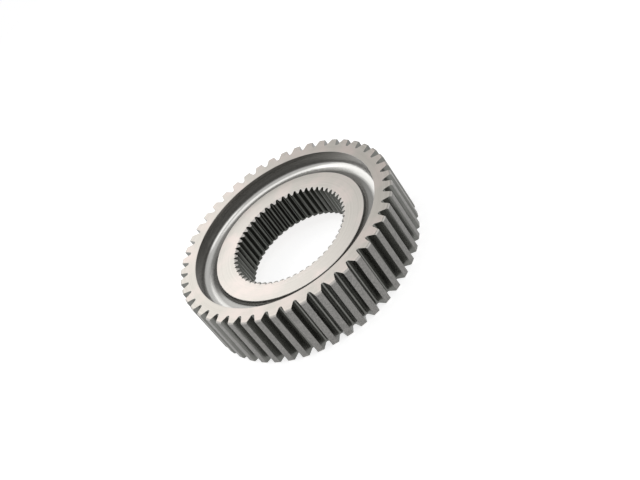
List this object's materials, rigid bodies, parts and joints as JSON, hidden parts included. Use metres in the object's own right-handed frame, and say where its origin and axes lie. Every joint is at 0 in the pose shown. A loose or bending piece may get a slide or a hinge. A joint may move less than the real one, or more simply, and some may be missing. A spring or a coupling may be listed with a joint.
{
  "type": "transfer case sprocket",
  "caption": "Steel chain sprocket with straight inverted-tooth chain teeth round a wide rim, a sunk hub and a finely splined through bore.",
  "frame": {"origin": "centre of the back rim face, on the shaft axis, on the surface that the sprocket stands on", "axes": "+Z along the shaft axis, from the back face to the front face; +X through the middle of one tooth"},
  "size_m": [0.1191, 0.1192, 0.031],
  "materials": {
    "steel": "machined, satin faces with darker cut teeth"
  },
  "bodies": {
    "root": {"sprocket": "steel"}
  },
  "joints": []
}
